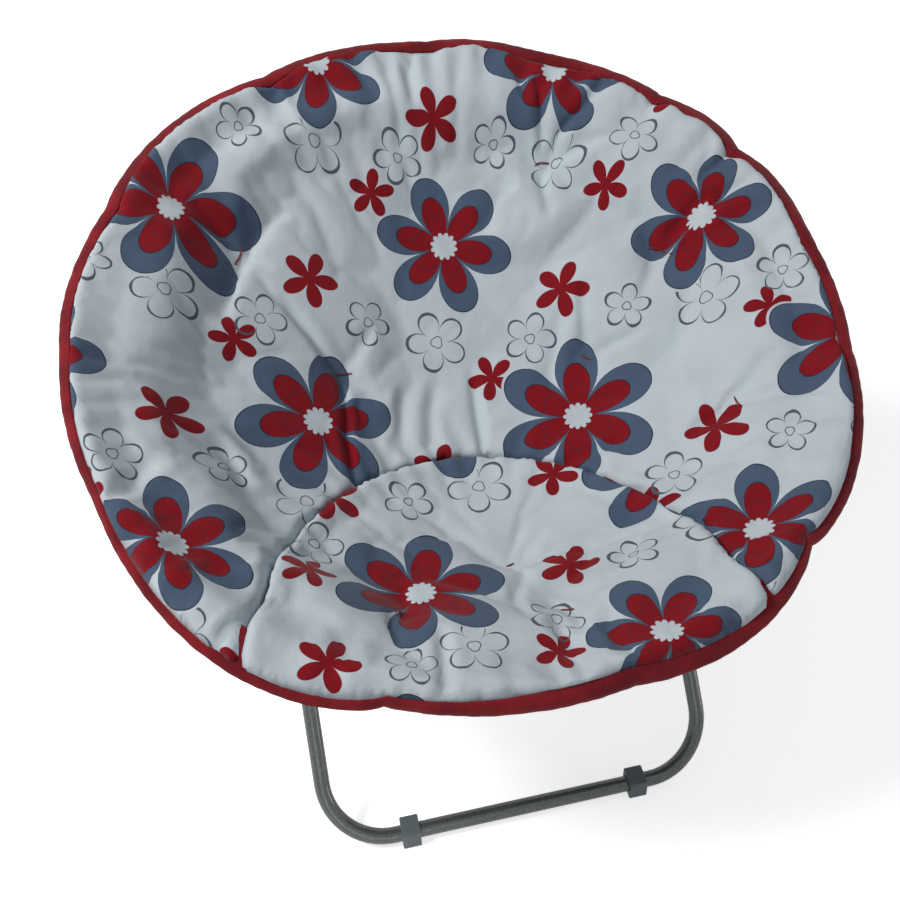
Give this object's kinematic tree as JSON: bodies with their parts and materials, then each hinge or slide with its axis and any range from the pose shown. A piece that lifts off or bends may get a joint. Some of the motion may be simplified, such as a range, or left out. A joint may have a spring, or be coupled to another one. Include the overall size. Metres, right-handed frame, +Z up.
{
  "type": "folding saucer chair",
  "caption": "Folding saucer chair: a quilted round bowl seat bound to a hinged steel hoop, on two crossing U-shaped tube legs with plastic feet.",
  "frame": {"origin": "on the floor, under the centre of the hoop", "axes": "+Z up, +Y towards the high back of the bowl, +X to the right of someone facing the chair"},
  "size_m": [0.8068, 0.7244, 0.7203],
  "materials": {
    "frame_steel": "hammered silver-grey powder coat",
    "knuckle_steel": "zinc-plated steel, dull",
    "rivet_steel": "bright zinc",
    "foot_plastic": "moulded, matt blue-grey",
    "cap_plastic": "moulded, matt",
    "washer_nylon": "natural nylon",
    "pad_fabric": "brushed cotton, quilted, printed with slate-blue and red flowers",
    "binding_fabric": "red woven binding tape"
  },
  "bodies": {
    "rear_hoop": {"rear_hoop_tube": "frame_steel", "rear_binding": "binding_fabric", "rear_hoop_bracket_left": "frame_steel", "rear_hoop_bracket_right": "frame_steel", "rear_bracket_rivet_left": "rivet_steel", "rear_bracket_rivet_right": "rivet_steel", "rear_hinge_knuckle_left": "knuckle_steel", "rear_hinge_knuckle_right": "knuckle_steel", "hoop_hinge_rivet_left": "rivet_steel", "hoop_hinge_rivet_right": "rivet_steel", "back_panel": "pad_fabric", "seat_panel_tongue": "pad_fabric"},
    "front_hoop": {"front_hoop_tube": "frame_steel", "front_binding": "binding_fabric", "front_hoop_bracket_left": "frame_steel", "front_hoop_bracket_right": "frame_steel", "front_bracket_rivet_left": "rivet_steel", "front_bracket_rivet_right": "rivet_steel", "front_hinge_knuckle_left": "knuckle_steel", "front_hinge_knuckle_right": "knuckle_steel", "seat_panel": "pad_fabric", "back_panel_wing_left": "pad_fabric", "back_panel_wing_right": "pad_fabric"},
    "front_leg": {"front_leg_tube": "frame_steel", "front_leg_cap_left": "cap_plastic", "front_leg_cap_right": "cap_plastic", "front_foot_left": "foot_plastic", "front_foot_right": "foot_plastic", "crossing_washer_left": "washer_nylon", "crossing_washer_right": "washer_nylon", "crossing_rivet_inner_left": "rivet_steel", "crossing_rivet_inner_right": "rivet_steel"},
    "rear_leg": {"rear_leg_tube": "frame_steel", "rear_leg_cap_left": "cap_plastic", "rear_leg_cap_right": "cap_plastic", "rear_foot_left": "foot_plastic", "rear_foot_right": "foot_plastic", "crossing_rivet_outer_left": "rivet_steel", "crossing_rivet_outer_right": "rivet_steel"}
  },
  "joints": [
    {"name": "hoop_fold", "type": "hinge", "parent": "rear_hoop", "child": "front_hoop", "pos_m": [0, -0.12843, 0.46997], "axis": [-1, 0, 0], "range_deg": [0, 165], "deforming": ["back_panel", "seat_panel_tongue", "seat_panel", "back_panel_wing_left", "back_panel_wing_right"]},
    {"name": "front_leg_swing", "type": "hinge", "parent": "rear_hoop", "child": "front_leg", "pos_m": [0, 0.30244, 0.6468], "axis": [-1, 0, 0], "range_deg": [0, 25.2]},
    {"name": "rear_leg_swing", "type": "hinge", "parent": "front_hoop", "child": "rear_leg", "pos_m": [0, -0.25724, 0.36775], "axis": [1, 0, 0], "range_deg": [0, 67.25]}
  ],
  "couplings": [
    {"joint": "front_leg_swing", "follows": "hoop_fold", "ratio": 0.15261},
    {"joint": "rear_leg_swing", "follows": "hoop_fold", "ratio": 0.40735}
  ]
}
